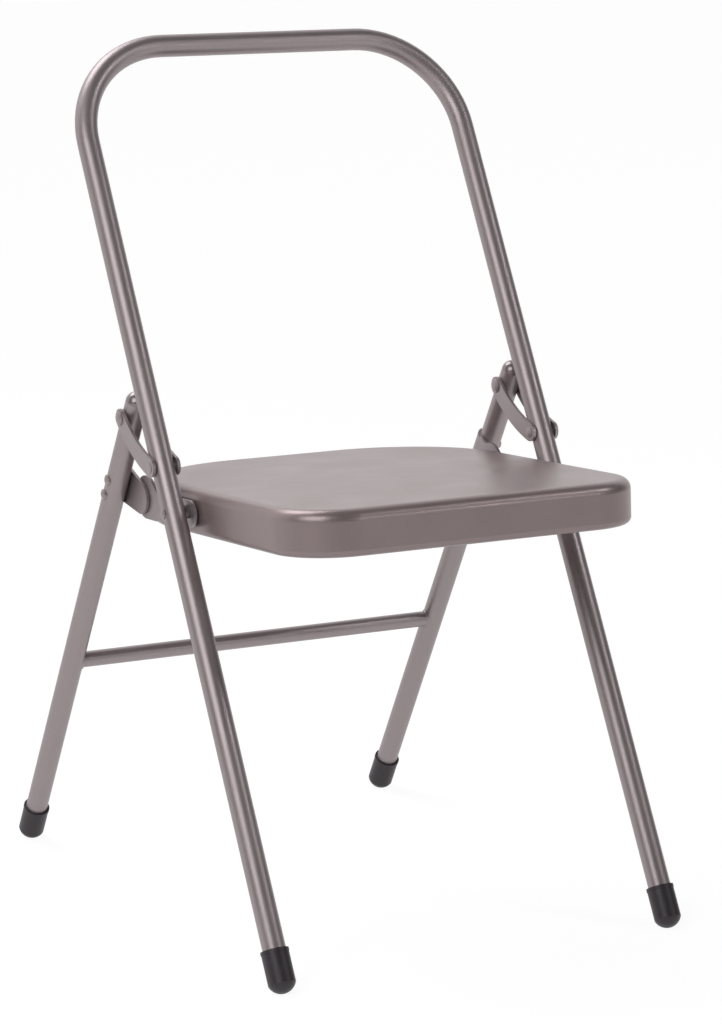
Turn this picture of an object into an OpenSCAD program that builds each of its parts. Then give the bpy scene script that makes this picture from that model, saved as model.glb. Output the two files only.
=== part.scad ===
// Backless yoga chair: a folding steel chair with an open hoop in place of a back.
// Millimetres, +Z up. The sitter faces -Y, and left and right are as seen from the front.
// The origin lies on the floor, midway between the feet.

/* [Tubes] */
// Outside diameter of the frame and leg tube
tube_d = 22; // [20:0.5:24]
// Wall of the frame and leg tube
tube_wall = 1.5; // [1:0.1:2]
// Outside diameter of the rear crossbar
bar_d = 16; // [12:0.5:18]
// Wall of the rear crossbar
bar_wall = 1.2; // [0.8:0.1:1.6]

/* [Front frame] */
// Height of the hoop's top above the floor
frame_h = 837; // [800:1:870]
// Distance between the left and right tube axes
track = 415; // [405:1:430]
// Backward lean of the front frame, from upright
front_lean = 29; // [26:0.25:31]
// Bend radius of the hoop's corners, on the tube's axis
hoop_r = 100; // [80:1:120]

/* [Rear frame] */
// Distance between front and rear tube axes at the height of the seat's front edge
leg_gap = 95.75; // [94:0.25:100]
// Forward lean of the rear legs, from upright
rear_lean = 29.7; // [28.5:0.1:30.5]
// Top end of a rear leg, measured up the leg from the height of the seat's front edge
leg_top_rise = 70.9; // [67:0.1:71.5]
// Height of the crossbar's axis above the floor
bar_h = 213; // [120:1:300]

/* [Foot caps] */
// Radius of the cap, and height of its dome's centre above the floor
cap_r = 13; // [12.5:0.1:16]
// How much the sole's dome is flattened where it meets the floor
sole_flat = 0.8; // [0.4:0.1:1.5]
// Length of the cap above the dome's centre
cap_len = 27; // [18:1:40]
// How far the cap's rim stands proud
cap_lip = 0.4; // [0:0.1:1]
// Height of the cap's rim band
cap_lip_h = 3; // [1:0.5:6]

/* [Seat pan] */
// Room from the front tube's axis to the side of the seat
seat_room = 21.25; // [20.5:0.25:26]
// Depth of the seat, front to rear
seat_d = 412; // [380:1:430]
// Height of the pan, top to lower lip
seat_t = 43.5; // [38:0.5:50]
// Thickness of the pressed sheet
sheet = 1.2; // [0.8:0.1:2]
// Corner radius at the front, seen from above
seat_front_r = 61; // [40:1:80]
// Corner radius at the rear, seen from above
seat_rear_r = 126; // [90:1:150]
// Radius of the rolled top edge
roll_r = 10.5; // [6:0.5:12]
// Radius of the rolled lower edge
lip_r = 6.5; // [4:0.5:8]
// Inward reach of the lower lip from the wall's outer face
lip_in = 13; // [9:0.5:16]
// Share of the seat's depth that is ahead of the seat pivot
share_ahead = 0.534; // [0.52:0.002:0.56]
// Height of the seat's front edge, at the top surface
seat_h = 440; // [410:1:470]
// Backward tilt of the seat
seat_tilt = 3.5; // [2:0.1:5]

/* [Seat stiffener] */
// Distance from the seat's front edge to the stiffener's middle
stiff_back = 235; // [150:1:280]
// Width of the channel's crown
stiff_crown = 40; // [20:1:60]
// Depth of the channel
stiff_deep = 12; // [6:1:16]
// Width of each flange
stiff_flange = 12; // [8:1:20]

/* [Fold] */
// The four pivots are measured along the tubes from the height of the seat's front edge.
// Seat pivot, down the front tube
seat_pivot_drop = 38.7; // [37.9:0.1:39.5]
// Link pivot, up the front tube
link_pivot_rise = 7.8; // [7:0.1:8.6]
// Link pivot, up the rear leg
leg_link_rise = 51.4; // [50:0.1:52]
// Hinge pivot, down the rear leg
hinge_drop = 25.6; // [24.8:0.1:26.4]
// Hinge pivot's reach in front of the rear leg's axis
hinge_reach = 30.4; // [29.5:0.1:31.5]
// Angle that the seat turns through from open to folded
seat_fold = 111; // [106:0.5:112]

/* [Links] */
// Thickness of a link strap
strap_t = 3; // [2:0.1:3.2]
// Width of a link strap
strap_w = 18; // [16:0.5:18.5]
// How far a strap bows below the straight line between its pivots
strap_bow = 5; // [3:0.5:5.5]
// Radius of the pivot rivets' shanks
pin_r = 4; // [3:0.1:4.5]
// Radius of the large rivet heads on the rear legs
big_head_r = 7.1; // [6:0.1:8]
// Height of the large rivet heads
big_head_h = 3; // [2:0.1:3.5]
// Radius of the low rivet heads on the front tubes
low_head_r = 5.2; // [5:0.1:6.5]
// Height of the low rivet heads
low_head_h = 1; // [0.8:0.1:2]

/* [Seat bracket] */
// Thickness of the bracket plate
ear_t = 3; // [2:0.1:3.2]
// Radius of the bracket's front end
ear_front_r = 13; // [11:0.5:14]
// Radius of the bracket's rear lobe
ear_lobe_r = 21; // [19:0.5:21.5]
// Radius of the bracket's heel, below the lobe
ear_heel_r = 14; // [12:0.5:16]
// Radius of the pressed bosses that stand against the seat
boss_r = 9; // [7:0.5:10]
// Radius of the outer head on the seat pivot rivet
pivot_head_r = 4.8; // [4.6:0.1:5.5]
// Radius of the inner head on the seat pivot rivet
inner_head_r = 8; // [6:0.5:10]
// Radius of the saddle washer between tube and bracket
washer_r = 6.5; // [5.5:0.1:6.7]

/* [Leg hinge plate] */
// Thickness of the hinge plate
plate_t = 3; // [2:0.1:3]
// Radius of the hinge plate's nose, about the hinge pivot
nose_r = 15.5; // [13:0.5:17]
// Height of the plate where it lies on the leg
plate_h = 39; // [34:1:46]
// How far the plate wraps round the back of the leg, in degrees
wrap = 70; // [30:5:90]
// Spacing of the two rivets through the leg
plate_rivet_gap = 18; // [14:1:22]
// Radius of the plate rivets' shanks
plate_pin_r = 2.5; // [2:0.1:3]
// Radius of the plate rivets' heads
plate_head_r = 5.2; // [4:0.1:6]
// Radius of the hinge pivot's shank
hinge_pin_r = 3; // [2.5:0.1:3.4]
// Radius of the washer on the hinge pivot
hinge_washer_r = 11; // [8:0.5:12]

/* [Fits] */
// Radial play of a rivet that turns in its hole
run_play = 0.06; // [0.03:0.01:0.1]
// Gap between flat pieces that slide past each other
slide_gap = 0.3; // [0.2:0.05:0.5]
// Gap between pieces that are fixed to each other
seat_gap = 0.05; // [0.02:0.01:0.1]

/* [Hidden] */
$fn = 64;
left = -1;
right = 1;
reach = 30; // length of the cutters that run through a wall

paint = "#8a7f82";
paint_seat = "#94898a";
rubber = "#3a363a";
bright = "#a5a2a3";

tube_r = tube_d / 2;
bore_r = tube_r - tube_wall;

// From the feet up to the height of the seat's front edge, upright and along each tube
seat_rise = seat_h - cap_r;
front_seat_up = seat_rise / cos(front_lean);
rear_seat_up = seat_rise / cos(rear_lean);
// Distance on the floor between front and rear feet, dome centre to dome centre
foot_span = leg_gap + seat_rise * (tan(front_lean) + tan(rear_lean));
// Places along the tubes, from the feet
seat_pivot_up = front_seat_up - seat_pivot_drop;
link_pivot_up = front_seat_up + link_pivot_rise;
leg_link_up = rear_seat_up + leg_link_rise;
hinge_up = rear_seat_up - hinge_drop;
leg_len = rear_seat_up + leg_top_rise;

// Side-view points are [y, z].
// Places on the front tube and on the rear leg, measured up from the foot domes' centres.
function on_front(up) = [-foot_span / 2 + up * sin(front_lean), cap_r + up * cos(front_lean)];
function on_rear(up, ahead) = [
    foot_span / 2 - up * sin(rear_lean) - ahead * cos(rear_lean),
    cap_r + up * cos(rear_lean) - ahead * sin(rear_lean)];
function turn(v, a) = [v[0] * cos(a) - v[1] * sin(a), v[0] * sin(a) + v[1] * cos(a)];
function heading(v) = atan2(v[1], v[0]);
// The swing from one heading back to another, between 0 and 360 degrees
function swing(from, to) = (heading(from) - heading(to) + 720) % 360;

// The four pivots of the folding linkage
seat_pivot = on_front(seat_pivot_up);
link_pivot = on_front(link_pivot_up);
leg_link = on_rear(leg_link_up, 0);
hinge = on_rear(hinge_up, hinge_reach);
link_len = norm(leg_link - link_pivot);
hinge_len = norm(leg_link - hinge);

// Folded: the hinge goes round the seat pivot, and two circles meet at the leg's link pivot
hinge_folded = seat_pivot + turn(hinge - seat_pivot, -seat_fold);
span_folded = norm(link_pivot - hinge_folded);
foot_of_cross = (span_folded * span_folded + hinge_len * hinge_len - link_len * link_len)
    / (2 * span_folded);
side_of_cross = sqrt(hinge_len * hinge_len - foot_of_cross * foot_of_cross);
leg_link_folded = hinge_folded
    + turn([foot_of_cross, -side_of_cross], heading(link_pivot - hinge_folded));
leg_fold = swing(leg_link - hinge, leg_link_folded - hinge_folded);
link_fold = swing(leg_link - link_pivot, leg_link_folded - link_pivot);
echo(seat_fold = seat_fold, link_fold = link_fold, leg_fold = leg_fold);
echo(seat_pivot = seat_pivot, link_pivot = link_pivot, leg_link = leg_link, hinge = hinge);

// Where the hinge pin stands in the seat bracket when the three angles turn in proportion,
// from t = 0 (open) to t = 1 (folded)
function pin_path(t) = hinge + turn(
    link_pivot + turn(leg_link - link_pivot, -t * link_fold)
        + turn(hinge - leg_link, -t * leg_fold)
        - seat_pivot - turn(hinge - seat_pivot, -t * seat_fold),
    t * seat_fold);

// Layers beside a tube, as distances from its axis towards the middle of the chair
strap_near = tube_r + slide_gap;
strap_far = strap_near + strap_t;
plate_near = tube_r + seat_gap;
plate_far = plate_near + plate_t;
ear_near = max(strap_far, plate_far) + slide_gap;
ear_far = ear_near + ear_t;
axis_x = track / 2;
seat_wall_x = axis_x - seat_room;
boss_h = axis_x - ear_far - seat_wall_x - seat_gap;

// Centres of the seat bracket's rounded corners
ear_front = seat_pivot + [-1, -2];
ear_lobe = hinge + [-6.7, 1.8];
ear_heel = ear_lobe - [0, ear_lobe_r - ear_heel_r];
ear_shoulder = ear_lobe - [22, ear_lobe_r - ear_heel_r];
// The two rivets between bracket and seat: the rear one is just ahead of the seat's rear corner
seat_front_y = seat_pivot[0] - share_ahead * seat_d;
side_end_y = seat_front_y + (seat_d - seat_rear_r) * cos(seat_tilt);
rear_rivet = [side_end_y - 10, seat_pivot[1] - 6];
bracket_rivets = [seat_pivot + 0.46 * (rear_rivet - seat_pivot), rear_rivet];
bracket_pin_r = 2.5;
bracket_tail_r = 4.8;
bracket_tail_h = 2.2;

// Middle of the hinge plate on the leg
plate_mid = hinge_up - 8.5;

module side(s) {
    if (s == left) mirror([1, 0, 0]) children();
    else children();
}
// Children stand on the front foot dome's centre, with +Z up the tube
module front_axis() translate([0, -foot_span / 2, cap_r]) rotate([-front_lean, 0, 0]) children();
// Children stand on the rear foot dome's centre, with +Z up the leg
module rear_axis() translate([0, foot_span / 2, cap_r]) rotate([rear_lean, 0, 0]) children();
// Children lie on the seat: +Y goes back from the front edge, z = 0 is the top surface
module seat_axis() translate([0, seat_front_y, seat_h]) rotate([-seat_tilt, 0, 0]) children();
// A flat outline in [y, z], given thickness along +X from x
module side_plate(x, t) translate([x, 0, 0]) rotate([90, 0, 90]) linear_extrude(t) children();
// A round bar or hole along +X from x, centred on the side-view point p
module side_pin(p, x, len, r) translate([x, p[0], p[1]]) rotate([0, 90, 0]) cylinder(r = r, h = len);

module pipe(d, wall, len) {
    difference() {
        cylinder(d = d, h = len);
        translate([0, 0, -1]) cylinder(d = d - 2 * wall, h = len + 2);
    }
}

module dome(r, h) {
    ball = (r * r + h * h) / (2 * h);
    rotate_extrude() intersection() {
        translate([0, h - ball]) circle(ball);
        square([r, h]);
    }
}
// A rivet head on z = 0: a short rim under a dome. Its rim may reach down by sink.
module head(r, h, sink = 0) {
    rim = 0.3 * h;
    translate([0, 0, -sink]) cylinder(r = r, h = rim + sink);
    translate([0, 0, rim]) dome(r, h - rim);
}
// Children, drawn upwards from z = 0, point outboard (+X) or inboard (-X) from x at p
module outboard(p, x) translate([x, p[0], p[1]]) rotate([0, 90, 0]) children();
module inboard(p, x) translate([x, p[0], p[1]]) rotate([0, -90, 0]) children();

// Front frame: one tube, bent into a hoop
hoop_up = (frame_h - tube_r - cap_r) / cos(front_lean);
straight_up = hoop_up - hoop_r;
module front_frame_tube() color(paint) difference() {
    front_axis() union() {
        for (s = [left, right]) side(s) {
            translate([axis_x, 0, 0]) pipe(tube_d, tube_wall, straight_up);
            translate([axis_x - hoop_r, 0, straight_up]) rotate([90, 0, 0])
                rotate_extrude(angle = 90) translate([hoop_r, 0]) difference() {
                    circle(tube_r);
                    circle(bore_r);
                }
        }
        translate([hoop_r - axis_x, 0, hoop_up]) rotate([0, 90, 0])
            pipe(tube_d, tube_wall, track - 2 * hoop_r);
    }
    for (s = [left, right], p = [seat_pivot, link_pivot])
        side(s) side_pin(p, axis_x - reach / 2, reach, pin_r + run_play);
}

// Ferrule with a domed sole; the tube stands on the dome's centre
sole_r = cap_r + sole_flat;
module foot_cap() rotate_extrude() difference() {
    union() {
        intersection() {
            translate([0, seat_gap]) circle(sole_r);
            translate([0, -sole_r]) square([cap_r, sole_r]);
        }
        square([cap_r, cap_len]);
        translate([0, cap_len - cap_lip_h]) square([cap_r + cap_lip, cap_lip_h]);
    }
    translate([0, 0]) square([tube_r + seat_gap, cap_len + 1]);
}
// Children lose whatever would be below the floor
module on_floor() difference() {
    children();
    translate([-track, -foot_span, -4 * cap_r]) cube([2 * track, 2 * foot_span, 4 * cap_r]);
}
module front_foot_cap(s) color(rubber) side(s) on_floor()
    front_axis() translate([axis_x, 0, -seat_gap]) foot_cap();
module rear_foot_cap(s) color(rubber) side(s) on_floor()
    rear_axis() translate([axis_x, 0, -seat_gap]) foot_cap();

// Rear leg: a straight tube, open at the top for its plug
module rear_leg(s) color(paint) side(s) difference() {
    rear_axis() translate([axis_x, 0, 0]) pipe(tube_d, tube_wall, leg_len);
    side_pin(leg_link, axis_x - reach / 2, reach, pin_r + run_play);
    rear_axis() for (v = [-1, 1])
        side_pin([0, plate_mid + v * plate_rivet_gap / 2], axis_x - reach / 2, reach,
            plate_pin_r + seat_gap);
}

plug_dome_h = 9;
plug_stem = 11;
module leg_top_plug(s) color(bright) side(s) rear_axis()
    translate([axis_x, 0, leg_len + seat_gap]) {
        dome(tube_r, plug_dome_h);
        translate([0, 0, -plug_stem]) cylinder(r = bore_r - seat_gap, h = plug_stem);
    }

// Crossbar: its ends are notched to sit against the legs
bar_up = (bar_h - cap_r) / cos(rear_lean);
module rear_crossbar() color(paint) rear_axis() difference() {
    translate([-axis_x, 0, bar_up]) rotate([0, 90, 0]) pipe(bar_d, bar_wall, track);
    for (s = [left, right]) side(s)
        translate([axis_x, 0, bar_up - bar_d]) cylinder(r = tube_r + seat_gap, h = 2 * bar_d);
}

// Seat pan: a pressed sheet with a rolled edge, a wall and a lower lip turned inwards.
// The section reaches w inwards from the wall's outer face at x = 0; its top is y = 0.
module filled_section(w, inset) {
    upper = roll_r - inset;
    lower = lip_r - inset;
    translate([-w, lip_r - seat_t]) square([w - inset, seat_t - lip_r - roll_r]);
    translate([-w, -roll_r]) square([w - roll_r, upper]);
    translate([-roll_r, -roll_r]) circle(upper);
    translate([-w, inset - seat_t]) square([w - lip_r, lower]);
    translate([-lip_r, lip_r - seat_t]) circle(lower);
}
module pan_section(w) difference() {
    filled_section(w, 0);
    filled_section(w + 1, sheet);
    translate([-w - 1, -seat_t - 1]) square([w + 1 - lip_in, 2 * lip_r]);
}
// A straight stretch of the edge, from the front or rear line, len long
module pan_run(w, len) rotate([90, 0, 0]) linear_extrude(len) pan_section(w);
module pan_corner(r) rotate_extrude(angle = 90) translate([r, 0]) pan_section(r);
front_line = seat_wall_x - seat_front_r;
rear_line = seat_wall_x - seat_rear_r;
module seat_pan() color(paint_seat) difference() {
    seat_axis() union() {
        for (s = [left, right]) side(s) {
            translate([front_line, seat_front_r, 0]) rotate(-90) pan_corner(seat_front_r);
            translate([rear_line, seat_d - seat_rear_r, 0]) pan_corner(seat_rear_r);
            translate([seat_wall_x, seat_d - seat_rear_r, 0])
                pan_run(seat_rear_r, seat_d - seat_rear_r - seat_front_r);
        }
        translate([front_line, 0, 0]) rotate(-90) pan_run(seat_front_r, 2 * front_line);
        translate([-rear_line, seat_d, 0]) rotate(90) pan_run(seat_rear_r, 2 * rear_line);
        translate([-rear_line, seat_front_r, -sheet])
            cube([2 * rear_line, seat_d - seat_front_r - seat_rear_r, sheet]);
    }
    for (s = [left, right], p = bracket_rivets)
        side(s) side_pin(p, seat_wall_x - reach / 2, reach, bracket_pin_r + seat_gap);
}

// Channel pressed against the underside of the seat, from wall to wall
module seat_stiffener() color(paint_seat) seat_axis() {
    half = stiff_crown / 2;
    len = 2 * (seat_wall_x - roll_r - 1);
    translate([0, stiff_back, -sheet - seat_gap]) rotate([90, 0, 90])
        linear_extrude(len, center = true) polygon([
            [-half - stiff_flange, 0], [-half, 0], [-half + stiff_deep / 2, sheet - stiff_deep],
            [half - stiff_deep / 2, sheet - stiff_deep], [half, 0], [half + stiff_flange, 0],
            [half + stiff_flange, -sheet], [half + sheet / 2, -sheet],
            [half - stiff_deep / 2 + sheet / 2, -stiff_deep],
            [-half + stiff_deep / 2 - sheet / 2, -stiff_deep],
            [-half - sheet / 2, -sheet], [-half - stiff_flange, -sheet]]);
}

// Seat bracket: carries the seat on the front tube and, at its rear end, the hinge.
// The hinge pin rides in an opening that holds its whole path.
path_steps = 12;
module seat_bracket(s) color(paint) side(s) difference() {
    union() {
        side_plate(axis_x - ear_far, ear_t) {
            hull() {
                translate(ear_front) circle(ear_front_r);
                translate(ear_heel) circle(ear_heel_r);
            }
            hull() {
                translate(ear_shoulder) circle(ear_front_r);
                translate(ear_lobe) circle(ear_lobe_r);
            }
        }
        for (p = bracket_rivets) side_pin(p, axis_x - ear_far - boss_h, boss_h + ear_t / 2, boss_r);
    }
    side_pin(seat_pivot, axis_x - reach, reach, pin_r + run_play);
    for (p = bracket_rivets) side_pin(p, axis_x - reach, reach, bracket_pin_r + seat_gap);
    side_plate(axis_x - reach, reach) hull() for (i = [0 : path_steps])
        translate(pin_path(i / path_steps)) circle(hinge_pin_r + slide_gap);
}
module seat_bracket_rivets(s) color(paint) side(s) for (p = bracket_rivets) {
    side_pin(p, seat_wall_x - sheet - seat_gap, axis_x - ear_near - seat_wall_x + sheet + seat_gap,
        bracket_pin_r);
    inboard(p, seat_wall_x - sheet - seat_gap) head(bracket_tail_r, bracket_tail_h);
}

// Seat pivot: a rivet through the front tube, a saddle washer and the bracket
inner_head_h = 2.4;
pivot_head_h = 2.2;
head_sink = 2; // a head on a tube reaches this far below its crest, and is cut to the tube
module tube_cut() front_axis() translate([axis_x, 0, seat_pivot_up - reach])
    cylinder(r = tube_r + seat_gap, h = 2 * reach);
module seat_pivot_rivet(s) color(paint) side(s) {
    side_pin(seat_pivot, axis_x - ear_far - slide_gap, ear_far + slide_gap + tube_r + 1, pin_r);
    inboard(seat_pivot, axis_x - ear_far - slide_gap) head(inner_head_r, inner_head_h);
    difference() {
        outboard(seat_pivot, axis_x + tube_r) head(pivot_head_r, pivot_head_h, head_sink);
        tube_cut();
    }
}
module seat_pivot_washer(s) color(paint) side(s) difference() {
    side_pin(seat_pivot, axis_x - strap_far, strap_far - bore_r, washer_r);
    tube_cut();
    side_pin(seat_pivot, axis_x - reach, reach, pin_r + run_play);
}

// Link strap: a bowed strip with round ends, its middle line an arc through both pivots
half_chord = link_len / 2;
bow_r = (half_chord * half_chord + strap_bow * strap_bow) / (2 * strap_bow);
bow_half = asin(half_chord / bow_r);
bow_steps = 16;
end_steps = 12;
function polar(c, r, a) = [c[0] + r * cos(a), c[1] + r * sin(a)];
module strap_outline() {
    centre = [half_chord, bow_r - strap_bow];
    start = 270 - bow_half;
    finish = 270 + bow_half;
    low_end = polar(centre, bow_r, start);
    high_end = polar(centre, bow_r, finish);
    translate(link_pivot) rotate(heading(leg_link - link_pivot)) polygon(concat(
        [for (i = [0 : bow_steps])
            polar(centre, bow_r + strap_w / 2, start + 2 * bow_half * i / bow_steps)],
        [for (i = [1 : end_steps - 1])
            polar(high_end, strap_w / 2, finish + 180 * i / end_steps)],
        [for (i = [0 : bow_steps])
            polar(centre, bow_r - strap_w / 2, finish - 2 * bow_half * i / bow_steps)],
        [for (i = [1 : end_steps - 1])
            polar(low_end, strap_w / 2, start + 180 + 180 * i / end_steps)]));
}
module link_strap(s, x) color(paint) side(s) difference() {
    side_plate(x, strap_t) strap_outline();
    side_pin(link_pivot, x - 1, strap_t + 2, pin_r + run_play);
    side_pin(leg_link, x - 1, strap_t + 2, pin_r + seat_gap);
}
module link_outer(s) link_strap(s, axis_x + strap_near);
module link_inner(s) link_strap(s, axis_x - strap_far);

// Rivet through both straps and the tube between them
module link_rivet(s, p, r, h) color(paint) side(s) {
    side_pin(p, axis_x - strap_far - seat_gap, 2 * (strap_far + seat_gap), pin_r);
    outboard(p, axis_x + strap_far + seat_gap) head(r, h);
    inboard(p, axis_x - strap_far - seat_gap) head(r, h);
}

// Leg hinge plate: wraps the leg's inner side and carries the hinge pivot ahead of it
wrap_steps = 7;
plate_in = plate_near / cos(wrap / wrap_steps / 2);
// Seen along the leg: a flat flange ahead of the leg, then an arc round its inner side
module plate_section() polygon(concat(
    [[-plate_far, -hinge_reach - 2 * nose_r]],
    [for (i = [0 : wrap_steps]) polar([0, 0], plate_far, 180 - wrap * i / wrap_steps)],
    [for (i = [wrap_steps : -1 : 0]) polar([0, 0], plate_in, 180 - wrap * i / wrap_steps)],
    [[-plate_in, -hinge_reach - 2 * nose_r]]));
// Seen from the side: a round nose about the hinge pivot, widening to the leg
module plate_outline() {
    hull() {
        translate([-hinge_reach, hinge_up]) circle(nose_r);
        translate([-1, plate_mid - plate_h / 2]) square([1, plate_h]);
    }
    translate([-1, plate_mid - plate_h / 2]) square([plate_far + 2, plate_h]);
}
module leg_hinge_plate(s) color(paint) side(s) rear_axis() difference() {
    intersection() {
        translate([axis_x, 0, plate_mid - plate_h]) linear_extrude(2 * plate_h) plate_section();
        side_plate(axis_x - reach, reach) plate_outline();
    }
    side_pin([-hinge_reach, hinge_up], axis_x - reach, reach, hinge_pin_r + seat_gap);
    for (v = [-1, 1])
        side_pin([0, plate_mid + v * plate_rivet_gap / 2], axis_x - reach, reach,
            plate_pin_r + seat_gap);
}
plate_head_h = 2.6;
module hinge_plate_rivets(s) color(paint) side(s) rear_axis() for (v = [-1, 1]) {
    p = [0, plate_mid + v * plate_rivet_gap / 2];
    side_pin(p, axis_x - plate_far, plate_far + tube_r + 1, plate_pin_r);
    difference() {
        outboard(p, axis_x + tube_r) head(plate_head_r, plate_head_h, head_sink);
        translate([axis_x, 0, p[1] - reach]) cylinder(r = tube_r + seat_gap, h = 2 * reach);
    }
}

// Hinge pivot: fixed in the hinge plate, free in the seat bracket's opening
hinge_washer_t = 1.2;
hinge_head_h = 1.6;
hinge_washer_x = axis_x - ear_far - slide_gap - hinge_washer_t;
module hinge_pivot_rivet(s) color(paint) side(s) {
    side_pin(hinge, hinge_washer_x - seat_gap, axis_x - plate_near - hinge_washer_x + seat_gap,
        hinge_pin_r);
    inboard(hinge, hinge_washer_x - seat_gap) head(2 * hinge_pin_r, hinge_head_h);
}
module hinge_washer(s) color(bright) side(s) difference() {
    side_pin(hinge, hinge_washer_x, hinge_washer_t, hinge_washer_r);
    side_pin(hinge, hinge_washer_x - 1, hinge_washer_t + 2, hinge_pin_r + seat_gap);
}

front_frame_tube();
front_foot_cap(left);  // front_foot_cap_left
front_foot_cap(right);  // front_foot_cap_right
rear_leg(left);  // rear_leg_left
rear_leg(right);  // rear_leg_right
rear_crossbar();
rear_foot_cap(left);  // rear_foot_cap_left
rear_foot_cap(right);  // rear_foot_cap_right
leg_top_plug(left);  // leg_top_plug_left
leg_top_plug(right);  // leg_top_plug_right
seat_pan();
seat_stiffener();
seat_bracket(left);  // seat_bracket_left
seat_bracket(right);  // seat_bracket_right
seat_bracket_rivets(left);  // seat_bracket_rivets_left
seat_bracket_rivets(right);  // seat_bracket_rivets_right
seat_pivot_rivet(left);  // seat_pivot_rivet_left
seat_pivot_rivet(right);  // seat_pivot_rivet_right
seat_pivot_washer(left);  // seat_pivot_washer_left
seat_pivot_washer(right);  // seat_pivot_washer_right
link_outer(left);  // link_outer_left
link_inner(left);  // link_inner_left
link_outer(right);  // link_outer_right
link_inner(right);  // link_inner_right
link_rivet(left, link_pivot, low_head_r, low_head_h);  // link_frame_rivet_left
link_rivet(right, link_pivot, low_head_r, low_head_h);  // link_frame_rivet_right
link_rivet(left, leg_link, big_head_r, big_head_h);  // link_leg_rivet_left
link_rivet(right, leg_link, big_head_r, big_head_h);  // link_leg_rivet_right
leg_hinge_plate(left);  // leg_hinge_plate_left
leg_hinge_plate(right);  // leg_hinge_plate_right
hinge_plate_rivets(left);  // hinge_plate_rivets_left
hinge_plate_rivets(right);  // hinge_plate_rivets_right
hinge_pivot_rivet(left);  // hinge_pivot_rivet_left
hinge_pivot_rivet(right);  // hinge_pivot_rivet_right
hinge_washer(left);  // hinge_washer_left
hinge_washer(right);  // hinge_washer_right
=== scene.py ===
"""Looks, light and camera for a folding yoga chair with an open hoop for a back.

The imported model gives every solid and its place. This script gives each one its finish,
adds the weld beads that join the crossbar to the rear legs, and sets the studio.
Lengths are in metres, +Z up, and the sitter faces -Y.
"""

import logging
import math
from dataclasses import dataclass, field
from enum import Enum

import bpy
from mathutils import Euler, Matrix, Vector

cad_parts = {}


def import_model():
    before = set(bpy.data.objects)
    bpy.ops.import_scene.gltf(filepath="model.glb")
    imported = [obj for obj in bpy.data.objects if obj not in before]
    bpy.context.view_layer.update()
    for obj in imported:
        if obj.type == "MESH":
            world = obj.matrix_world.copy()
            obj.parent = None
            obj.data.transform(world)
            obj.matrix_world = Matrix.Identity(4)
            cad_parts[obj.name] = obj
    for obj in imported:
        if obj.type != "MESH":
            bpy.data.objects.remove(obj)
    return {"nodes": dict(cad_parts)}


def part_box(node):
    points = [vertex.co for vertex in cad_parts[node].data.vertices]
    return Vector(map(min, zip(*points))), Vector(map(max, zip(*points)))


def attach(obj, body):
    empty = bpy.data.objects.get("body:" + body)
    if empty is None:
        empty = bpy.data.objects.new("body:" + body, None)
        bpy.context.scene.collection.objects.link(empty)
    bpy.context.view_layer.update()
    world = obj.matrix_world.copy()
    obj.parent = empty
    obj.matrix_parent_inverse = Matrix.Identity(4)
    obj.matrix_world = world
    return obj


Colour = tuple[float, float, float]
Place = tuple[float, float, float]
Span = tuple[float, float]
Tones = tuple[tuple[float, float], ...]
Socket = bpy.types.NodeSocket
Nodes = dict[str, bpy.types.Object]

WHITE: Colour = (1.0, 1.0, 1.0)
# The range that nearly all of the soft noise lies in.
NOISE_CORE: Span = (0.3, 0.7)
# The mix node's sockets for colours, by number, because its names repeat.
MIX_FACTOR, MIX_UNDER, MIX_OVER, MIX_RESULT = 0, 6, 7, 2

log = logging.getLogger("yoga_chair")


class Side(Enum):
    """The two sides of the chair, as seen from the front."""

    LEFT = -1
    RIGHT = 1

    @property
    def word(self) -> str:
        """The side's ending in a node's name."""
        return self.name.lower()


class Operation(Enum):
    """How two values are combined."""

    LARGER = "MAXIMUM"
    PRODUCT = "MULTIPLY"


class Curve(Enum):
    """How a value runs between the ends of its range."""

    STRAIGHT = "LINEAR"
    EASED = "SMOOTHSTEP"


def linear(red: int, green: int, blue: int) -> Colour:
    """Turns a colour on the 0 to 255 scale into scene light, by the sRGB curve.

    Args:
        red: Red as seen on a screen.
        green: Green as seen on a screen.
        blue: Blue as seen on a screen.

    Returns:
        The three channels, from 0 to 1, as the renderer counts them.
    """

    def channel(value: int) -> float:
        """One channel on the renderer's scale."""
        part = value / 255
        return part / 12.92 if part <= 0.04045 else ((part + 0.055) / 1.055) ** 2.4

    return channel(red), channel(green), channel(blue)


def shade(colour: Colour, factor: float) -> Colour:
    """A colour made lighter or darker by a factor."""
    red, green, blue = (min(1.0, part * factor) for part in colour)
    return red, green, blue


def both(*stems: str) -> list[str]:
    """Left and right node names for each stem."""
    return [f"{stem}_{side.word}" for stem in stems for side in Side]


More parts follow.
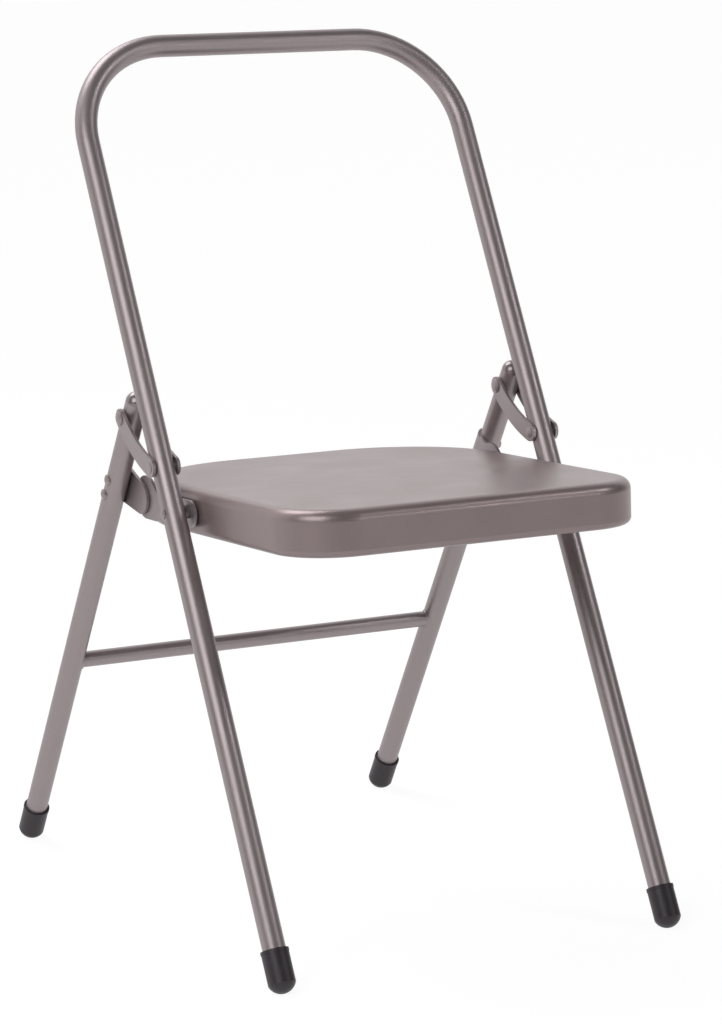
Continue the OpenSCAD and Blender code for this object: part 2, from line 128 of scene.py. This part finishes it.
class Graph:
    """A material's or the world's nodes, added and wired by short calls."""

    def __init__(self, owner: bpy.types.Material | bpy.types.World) -> None:
        """Empties the owner's node tree.

        Args:
            owner: The material or world whose nodes are made.
        """
        owner.use_nodes = True
        self.tree = owner.node_tree
        self.tree.nodes.clear()

    def add(self, kind: str, **settings: object) -> bpy.types.Node:
        """Adds a node.

        Args:
            kind: The node's type name.
            **settings: Its own settings, by attribute.

        Returns:
            The new node.
        """
        node = self.tree.nodes.new(kind)
        for name, value in settings.items():
            setattr(node, name, value)
        return node

    def join(self, out: Socket, into: Socket) -> None:
        """Wires one socket to another."""
        self.tree.links.new(out, into)

    def output(self, kind: str, shader: Socket) -> None:
        """Ends the tree with its output node.

        Args:
            kind: The output node's type name.
            shader: What it shows.
        """
        self.join(shader, self.add(kind).inputs["Surface"])

    def object_space(self) -> Socket:
        """Object coordinates, which are metres in the chair's own frame."""
        return self.add("ShaderNodeTexCoord").outputs["Object"]

    def noise(self, space: Socket, size: float, detail: float) -> Socket:
        """Soft noise.

        Args:
            space: The coordinates that it reads.
            size: The spacing of its blotches, in metres.
            detail: How many finer layers it has.

        Returns:
            The noise, from 0 to 1.
        """
        node = self.add("ShaderNodeTexNoise")
        node.inputs["Scale"].default_value = 1 / size
        node.inputs["Detail"].default_value = detail
        self.join(space, node.inputs["Vector"])
        return node.outputs["Fac"]

    def ramp(self, value: Socket, stops: list[tuple[float, Colour]]) -> Socket:
        """Turns a value into a colour.

        Args:
            value: The value that is read.
            stops: Places from 0 to 1, each with its colour, in rising order.

        Returns:
            The colour.
        """
        node = self.add("ShaderNodeValToRGB")
        ends = node.color_ramp.elements
        while len(ends) < len(stops):
            ends.new(0.5)
        for element, (place, colour) in zip(ends, stops):
            element.position = place
            element.color = (*colour, 1.0)
        self.join(value, node.inputs["Fac"])
        return node.outputs["Color"]

    def shades(self, value: Socket, tones: Tones, colour: Colour = WHITE) -> Socket:
        """Turns a value into lighter and darker shades of one colour.

        Args:
            value: The value that is read.
            tones: Places from 0 to 1, each with the factor on the colour, in rising order.
            colour: The colour at a factor of 1.

        Returns:
            The shaded colour.
        """
        return self.ramp(value, [(place, shade(colour, factor)) for place, factor in tones])

    def span(
        self,
        value: Socket,
        source: Span,
        target: Span = (0.0, 1.0),
        curve: Curve = Curve.STRAIGHT,
    ) -> Socket:
        """Spreads one range of a value over another.

        Args:
            value: The value that is read.
            source: The ends of the range that is read.
            target: What those ends become.
            curve: How the new value runs between them.

        Returns:
            The new value.
        """
        node = self.add("ShaderNodeMapRange", interpolation_type=curve.value)
        names = ("From Min", "From Max", "To Min", "To Max")
        for name, number in zip(names, (*source, *target)):
            node.inputs[name].default_value = number
        self.join(value, node.inputs["Value"])
        return node.outputs["Result"]

    def combine(self, operation: Operation, first: Socket, second: Socket) -> Socket:
        """Combines two values.

        Args:
            operation: What is done with them.
            first: The one value.
            second: The other value.

        Returns:
            The new value.
        """
        node = self.add("ShaderNodeMath", operation=operation.value)
        self.join(first, node.inputs[0])
        self.join(second, node.inputs[1])
        return node.outputs[0]

    def tint(self, under: Socket, over: Socket) -> Socket:
        """Multiplies one colour by another.

        Args:
            under: The colour that is changed.
            over: The colour that changes it.

        Returns:
            The product.
        """
        node = self.add("ShaderNodeMix", data_type="RGBA", blend_type="MULTIPLY")
        node.inputs[MIX_FACTOR].default_value = 1.0
        self.join(under, node.inputs[MIX_UNDER])
        self.join(over, node.inputs[MIX_OVER])
        return node.outputs[MIX_RESULT]

    def choose(self, share: Socket, off: Socket, on: Socket) -> Socket:
        """Mixes two shaders.

        Args:
            share: How much of the second one is taken, from 0 to 1.
            off: The shader at 0.
            on: The shader at 1.

        Returns:
            The mixed shader.
        """
        node = self.add("ShaderNodeMixShader")
        for number, socket in enumerate((share, off, on)):
            self.join(socket, node.inputs[number])
        return node.outputs[0]

    def bump(self, height: Socket, depth: float, under: Socket | None = None) -> Socket:
        """Raises the surface by a pattern.

        Args:
            height: The pattern.
            depth: Its depth, in metres.
            under: The normal of a bump that lies under this one.

        Returns:
            The changed normal.
        """
        node = self.add("ShaderNodeBump")
        node.inputs["Distance"].default_value = depth
        self.join(height, node.inputs["Height"])
        if under is not None:
            self.join(under, node.inputs["Normal"])
        return node.outputs["Normal"]

    def seen_rays(self, mirrored: Socket | None = None) -> Socket:
        """Picks the rays that show a background: from the camera, mirrored or through glass.

        Args:
            mirrored: How much of the background the mirrored and glass rays find, if not all.

        Returns:
            1 on such a ray and 0 on the rest, which only light the chair.
        """
        path = self.add("ShaderNodeLightPath").outputs
        glossy, through = path["Is Glossy Ray"], path["Is Transmission Ray"]
        share = self.combine(Operation.LARGER, glossy, through)
        if mirrored is not None:
            share = self.combine(Operation.PRODUCT, share, mirrored)
        return self.combine(Operation.LARGER, path["Is Camera Ray"], share)


@dataclass(frozen=True)
class Finish:
    """What every finish has: a name, a colour, a range of roughness and its metal share."""

    name: str
    colour: Colour
    roughness: Span
    metallic: float = 0.0

    def build(self) -> bpy.types.Material:
        """Makes the material.

        Returns:
            The material, with the patterns of its kind.
        """
        material = bpy.data.materials.new(self.name)
        graph = Graph(material)
        surface = graph.add("ShaderNodeBsdfPrincipled")
        surface.inputs["Metallic"].default_value = self.metallic
        self.pattern(graph, surface.inputs)
        graph.output("ShaderNodeOutputMaterial", surface.outputs[0])
        return material

    def pattern(self, graph: Graph, surface: bpy.types.NodeInputs) -> None:
        """Wires the patterns into the surface, which each kind of finish does its own way."""
        raise NotImplementedError


@dataclass(frozen=True)
class MetallicPaint(Finish):
    """Baked satin enamel: a fine metal grain, a faint cloudiness and an orange peel."""

    metallic: float = 0.55
    coat: float = 0.0
    coat_roughness: float = 0.3
    grain_size: float = 0.0009
    grain_depth: float = 0.000002
    grain_tones: Tones = ((0.25, 0.93), (0.5, 1.0), (0.75, 1.08))
    cloud_size: float = 0.05
    cloud_tint: Colour = (0.95, 0.94, 0.95)
    peel_size: float = 0.0035
    peel_depth: float = 0.000009

    def pattern(self, graph: Graph, surface: bpy.types.NodeInputs) -> None:
        """Wires grain, clouds and peel.

        Args:
            graph: The material's nodes.
            surface: The sockets of its surface.
        """
        surface["Coat Weight"].default_value = self.coat
        surface["Coat Roughness"].default_value = self.coat_roughness
        space = graph.object_space()
        grain = graph.noise(space, self.grain_size, detail=3.0)
        cloud = graph.noise(space, self.cloud_size, detail=3.0)
        peel = graph.noise(space, self.peel_size, detail=1.0)
        low, high = NOISE_CORE
        tone = graph.shades(grain, self.grain_tones, self.colour)
        clouded = graph.ramp(cloud, [(low, self.cloud_tint), (high, WHITE)])
        graph.join(graph.tint(tone, clouded), surface["Base Color"])
        graph.join(graph.span(cloud, NOISE_CORE, self.roughness), surface["Roughness"])
        raised = graph.bump(grain, self.grain_depth, under=graph.bump(peel, self.peel_depth))
        graph.join(raised, surface["Normal"])


@dataclass(frozen=True)
class Rubber(Finish):
    """Moulded dark rubber with a fine grain, a little dusty near the floor."""

    grain_size: float = 0.0012
    grain_depth: float = 0.00006
    grain_tones: Tones = ((0.35, 0.8), (0.7, 1.0))
    dust_height: float = 0.012
    dust_tones: Tones = ((0.0, 1.5), (1.0, 1.0))

    def pattern(self, graph: Graph, surface: bpy.types.NodeInputs) -> None:
        """Wires the grain, and the dust by the height above the floor.

        Args:
            graph: The material's nodes.
            surface: The sockets of its surface.
        """
        space = graph.object_space()
        grain = graph.noise(space, self.grain_size, detail=4.0)
        split = graph.add("ShaderNodeSeparateXYZ")
        graph.join(space, split.inputs[0])
        height = graph.span(split.outputs["Z"], (0.0, self.dust_height))
        dust = graph.shades(height, self.dust_tones, self.colour)
        speck = graph.shades(grain, self.grain_tones)
        graph.join(graph.tint(dust, speck), surface["Base Color"])
        graph.join(graph.span(grain, NOISE_CORE, self.roughness), surface["Roughness"])
        graph.join(graph.bump(grain, self.grain_depth), surface["Normal"])


@dataclass(frozen=True)
class ZincPlate(Finish):
    """Zinc plating with a mottled tone and fine scratches, as on the washers."""

    metallic: float = 0.9
    mottle_size: float = 0.003
    mottle_tones: Tones = ((0.3, 0.85), (0.7, 1.0))
    scratch_size: float = 0.0006
    scratch_depth: float = 0.00001

    def pattern(self, graph: Graph, surface: bpy.types.NodeInputs) -> None:
        """Wires the mottling and the scratches.

        Args:
            graph: The material's nodes.
            surface: The sockets of its surface.
        """
        space = graph.object_space()
        mottle = graph.noise(space, self.mottle_size, detail=3.0)
        scratches = graph.noise(space, self.scratch_size, detail=2.0)
        tone = graph.shades(mottle, self.mottle_tones, self.colour)
        graph.join(tone, surface["Base Color"])
        graph.join(graph.span(mottle, NOISE_CORE, self.roughness), surface["Roughness"])
        graph.join(graph.bump(scratches, self.scratch_depth), surface["Normal"])


@dataclass
class Finishes:
    """The chair's materials, each made once."""

    tube: Finish = MetallicPaint(
        "tube_paint", linear(164, 153, 155), roughness=(0.37, 0.44), metallic=0.68
    )
    seat: Finish = MetallicPaint(
        "seat_paint", linear(154, 138, 138), roughness=(0.32, 0.39), metallic=0.5
    )
    plug: Finish = MetallicPaint(
        "gloss_plug",
        linear(138, 126, 129),
        roughness=(0.24, 0.31),
        coat=0.6,
        coat_roughness=0.12,
    )
    washer: Finish = ZincPlate("zinc_washer", linear(132, 125, 125), roughness=(0.36, 0.5))
    foot: Finish = Rubber("foot_rubber", linear(54, 45, 52), roughness=(0.36, 0.52))
    made: dict[str, bpy.types.Material] = field(default_factory=dict)

    def get(self, finish: Finish) -> bpy.types.Material:
        """Gives a finish's material.

        Args:
            finish: The finish that is wanted.

        Returns:
            Its material, made on the first call.
        """
        if finish.name not in self.made:
            self.made[finish.name] = finish.build()
        return self.made[finish.name]

    def dress(self, nodes: Nodes, names: list[str], finish: Finish) -> None:
        """Puts a finish on some of the chair's solids.

        Args:
            nodes: Every solid, by name.
            names: The solids that are dressed.
            finish: What they get.
        """
        for name in names:
            slots = nodes[name].data.materials
            slots.clear()
            slots.append(self.get(finish))
            log.info("%s has %s", name, finish.name)


@dataclass
class FrontFrame:
    """The bent tube that is both the hoop and the front legs, with its feet and pivots."""

    painted: list[str] = field(
        default_factory=lambda: ["front_frame_tube", *both("seat_pivot_rivet")]
    )
    feet: list[str] = field(default_factory=lambda: both("front_foot_cap"))
    washers: list[str] = field(default_factory=lambda: both("seat_pivot_washer"))

    def dress(self, nodes: Nodes, finishes: Finishes) -> None:
        """Paints the frame and gives its feet and washers their finishes.

        Args:
            nodes: Every solid, by name.
            finishes: Where the materials come from.
        """
        finishes.dress(nodes, self.painted, finishes.tube)
        finishes.dress(nodes, self.feet, finishes.foot)
        finishes.dress(nodes, self.washers, finishes.washer)


@dataclass
class SeatPart:
    """The pressed seat with its brackets."""

    pressed: list[str] = field(default_factory=lambda: ["seat_pan", "seat_stiffener"])
    brackets: list[str] = field(
        default_factory=lambda: both("seat_bracket", "seat_bracket_rivets")
    )

    def dress(self, nodes: Nodes, finishes: Finishes) -> None:
        """Paints the seat and its brackets."""
        finishes.dress(nodes, self.pressed, finishes.seat)
        finishes.dress(nodes, self.brackets, finishes.tube)


@dataclass
class LinkPart:
    """The bowed straps and their rivets, on both sides."""

    painted: list[str] = field(
        default_factory=lambda: both(
            "link_outer", "link_inner", "link_frame_rivet", "link_leg_rivet"
        )
    )

    def dress(self, nodes: Nodes, finishes: Finishes) -> None:
        """Paints the straps and rivets."""
        finishes.dress(nodes, self.painted, finishes.tube)


@dataclass
class RearFrame:
    """The rear legs, their crossbar and its welds, feet, plugs and hinge plates.

    The weld is a round bead whose middle stands proud of the bar by a share of its radius.
    """

    leg_axis: float = 0.2075
    leg_radius: float = 0.011
    lean: float = math.radians(29.7)
    bar_radius: float = 0.008
    bead: float = 0.0013
    bead_proud: float = 0.3
    ripples: int = 34
    ripple_depth: float = 0.00012
    ring_steps: int = 56
    bead_steps: int = 12
    painted: list[str] = field(
        default_factory=lambda: [
            "rear_crossbar",
            *both("rear_leg", "leg_hinge_plate", "hinge_plate_rivets", "hinge_pivot_rivet"),
        ]
    )
    feet: list[str] = field(default_factory=lambda: both("rear_foot_cap"))
    plugs: list[str] = field(default_factory=lambda: both("leg_top_plug"))
    washers: list[str] = field(default_factory=lambda: both("hinge_washer"))

    def dress(self, nodes: Nodes, finishes: Finishes) -> None:
        """Paints the legs and gives feet, plugs and washers their finishes.

        Args:
            nodes: Every solid, by name.
            finishes: Where the materials come from.
        """
        finishes.dress(nodes, self.painted, finishes.tube)
        finishes.dress(nodes, self.feet, finishes.foot)
        finishes.dress(nodes, self.plugs, finishes.plug)
        finishes.dress(nodes, self.washers, finishes.washer)

    def ring(self, name: str, centre: Vector) -> bpy.types.Object:
        """Makes a plain ring round the crossbar, in the chair's middle plane.

        Args:
            name: The ring's name.
            centre: The middle of the crossbar.

        Returns:
            The ring, with its place applied.
        """
        bpy.ops.mesh.primitive_torus_add(
            major_radius=self.bar_radius + self.bead_proud * self.bead,
            minor_radius=self.bead,
            major_segments=self.ring_steps,
            minor_segments=self.bead_steps,
            location=(0, centre.y, centre.z),
            rotation=(0, math.pi / 2, 0),
        )
        piece = bpy.context.object
        piece.name = name
        bpy.ops.object.transform_apply(location=True, rotation=True, scale=True)
        return piece

    def weld(self, side: Side, finishes: Finishes) -> bpy.types.Object:
        """Lays the weld bead between the crossbar and a leg.

        The ring is bent to the leg's round face, which leans back, and rippled.

        Args:
            side: The side that the leg is on.
            finishes: Where the paint comes from.

        Returns:
            The bead, riding on the rear frame.
        """
        low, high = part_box("rear_crossbar")
        centre = (low + high) / 2
        piece = self.ring(f"crossbar_weld_{side.word}", centre)
        across = Vector((0, math.cos(self.lean), math.sin(self.lean)))
        for vertex in piece.data.vertices:
            away = (vertex.co - Vector((0, centre.y, centre.z))).dot(across)
            depth = math.sqrt(max(self.leg_radius**2 - away**2, 0.0))
            turn = math.atan2(vertex.co.z - centre.z, vertex.co.y - centre.y)
            ripple = self.ripple_depth * math.sin(self.ripples * turn)
            vertex.co.x = side.value * (self.leg_axis - depth - vertex.co.x + ripple)
        bpy.ops.object.mode_set(mode="EDIT")
        bpy.ops.mesh.select_all(action="SELECT")
        bpy.ops.mesh.normals_make_consistent(inside=False)
        bpy.ops.object.mode_set(mode="OBJECT")
        bpy.ops.object.shade_smooth()
        piece.data.materials.append(finishes.get(finishes.tube))
        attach(piece, "rear_frame")
        log.info("%s joins the crossbar to its leg", piece.name)
        return piece


@dataclass
class Floor:
    """A pale floor that shows as white and keeps a faint shadow."""

    width: float = 24.0
    centre: Place = (0.0, 4.0, -0.0002)
    lit_tone: float = 0.5
    shadow_tone: float = 0.16
    glow_reach: Span = (0.5, 6.0)
    glow: Span = (0.92, 0.965)

    def build(self) -> None:
        """Lays the floor, whose glow grows from near the chair to far from it."""
        bpy.ops.mesh.primitive_plane_add(size=self.width, location=self.centre)
        bpy.ops.object.transform_apply(location=True)
        plane = bpy.context.object
        plane.name = "studio_floor"
        material = bpy.data.materials.new("studio_floor")
        graph = Graph(material)
        plain = graph.add("ShaderNodeBsdfDiffuse")
        plain.inputs["Color"].default_value = (*shade(WHITE, self.lit_tone), 1)
        faint = graph.add("ShaderNodeBsdfDiffuse")
        faint.inputs["Color"].default_value = (*shade(WHITE, self.shadow_tone), 1)
        away = graph.add("ShaderNodeVectorMath", operation="LENGTH")
        graph.join(graph.object_space(), away.inputs[0])
        strength = graph.span(
            away.outputs["Value"], self.glow_reach, self.glow, Curve.EASED
        )
        glow = graph.add("ShaderNodeEmission")
        graph.join(strength, glow.inputs["Strength"])
        shown = graph.add("ShaderNodeAddShader")
        graph.join(faint.outputs[0], shown.inputs[0])
        graph.join(glow.outputs[0], shown.inputs[1])
        mixed = graph.choose(graph.seen_rays(), plain.outputs[0], shown.outputs[0])
        graph.output("ShaderNodeOutputMaterial", mixed)
        plane.data.materials.append(material)
        log.info("the floor lies under the feet")


@dataclass
class Room:
    """A white backdrop for the camera, and a dim room that lights the chair.

    The tones by depth run from the camera's side, at 0, to behind the chair, at 1.
    The tones by height run from level, at 0, to straight up, at 1.
    """

    walls: Tones = ((0.0, 0.16), (0.5, 0.16), (0.8, 0.4))
    ceiling: Tones = ((0.0, 1.0), (0.5, 0.5), (0.9, 0.3))
    mirrored_depth: Tones = ((0.55, 0.0), (0.75, 1.0))
    mirrored_height: Tones = ((0.7, 1.0), (0.95, 0.0))

    def build(self) -> None:
        """Makes the world.

        The camera sees white everywhere. Mirrored and glass rays find white only behind
        the chair, by the mirrored tones, and the dim room elsewhere.
        """
        world = bpy.data.worlds.new("studio")
        bpy.context.scene.world = world
        graph = Graph(world)
        split = graph.add("ShaderNodeSeparateXYZ")
        graph.join(graph.add("ShaderNodeTexCoord").outputs["Generated"], split.inputs[0])
        depth, height = graph.span(split.outputs["Y"], (-1.0, 1.0)), split.outputs["Z"]
        room = graph.add("ShaderNodeBackground")
        tone = graph.tint(graph.shades(depth, self.walls), graph.shades(height, self.ceiling))
        graph.join(tone, room.inputs["Color"])
        white = graph.add("ShaderNodeBackground")
        white.inputs["Color"].default_value = (*WHITE, 1)
        behind = graph.shades(depth, self.mirrored_depth)
        below = graph.shades(height, self.mirrored_height)
        shown = graph.seen_rays(graph.combine(Operation.PRODUCT, behind, below))
        mixed = graph.choose(shown, room.outputs[0], white.outputs[0])
        graph.output("ShaderNodeOutputWorld", mixed)
        log.info("the room stands round the chair")


@dataclass(frozen=True)
class Lamp:
    """A soft square lamp that faces the seat."""

    name: str
    place: Place
    width: float
    power: float
    aim: Place = (0.0, 0.0, 0.45)

    def build(self) -> None:
        """Hangs the lamp."""
        data = bpy.data.lights.new(self.name, "AREA")
        data.shape = "SQUARE"
        data.size = self.width
        data.energy = self.power
        lamp = bpy.data.objects.new(self.name, data)
        bpy.context.scene.collection.objects.link(lamp)
        lamp.location = self.place
        toward = Vector(self.aim) - Vector(self.place)
        lamp.rotation_euler = toward.to_track_quat("-Z", "Y").to_euler()
        log.info("the %s lamp hangs", self.name)


@dataclass
class Camera:
    """The camera, where the photograph was taken from. Its angles are in degrees."""

    eye: Place = (-1.6135, -3.0790, 1.0517)
    yaw: float = 28.095
    pitch: float = -11.0
    roll: float = 0.08
    focal_pixels: float = 3599.16
    picture_height: float = 1024.0
    sensor: float = 36.0
    reach: float = 100.0

    def build(self) -> None:
        """Sets the camera up and makes it the scene's own."""
        data = bpy.data.cameras.new("camera")
        data.sensor_width = self.sensor
        data.lens = self.focal_pixels * self.sensor / self.picture_height
        data.clip_end = self.reach
        camera = bpy.data.objects.new("camera", data)
        bpy.context.scene.collection.objects.link(camera)
        camera.location = self.eye
        turns = (90 + self.pitch, self.roll, -self.yaw)
        camera.rotation_euler = Euler([math.radians(turn) for turn in turns], "XYZ")
        bpy.context.scene.camera = camera
        log.info("the camera stands")


@dataclass
class Studio:
    """A white room: camera, floor, world and soft lamps."""

    camera: Camera = field(default_factory=Camera)
    floor: Floor = field(default_factory=Floor)
    room: Room = field(default_factory=Room)
    lamps: tuple[Lamp, ...] = (
        Lamp("key", (-2.0, -1.3, 1.9), width=1.8, power=33.0),
        Lamp("rear", (-0.6, 1.6, 3.2), width=1.9, power=48.0),
        Lamp("right", (2.3, -2.0, 2.6), width=0.7, power=16.0),
        Lamp("front", (2.1, -4.0, 1.6), width=0.6, power=12.0),
    )

    def build(self) -> None:
        """Makes the whole studio."""
        for part in (self.camera, self.floor, self.room, *self.lamps):
            part.build()
        bpy.context.scene.view_settings.view_transform = "Standard"


def main() -> None:
    """Builds the chair's looks and the studio, in order."""
    logging.basicConfig(level=logging.INFO, format="%(message)s")
    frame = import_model()
    bpy.ops.object.select_all(action="DESELECT")
    nodes: Nodes = frame["nodes"]
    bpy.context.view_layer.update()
    finishes = Finishes()
    rear = RearFrame()
    for part in (FrontFrame(), SeatPart(), LinkPart(), rear):
        part.dress(nodes, finishes)
    for side in Side:
        rear.weld(side, finishes)
    Studio().build()


if __name__ == "__main__":
    main()
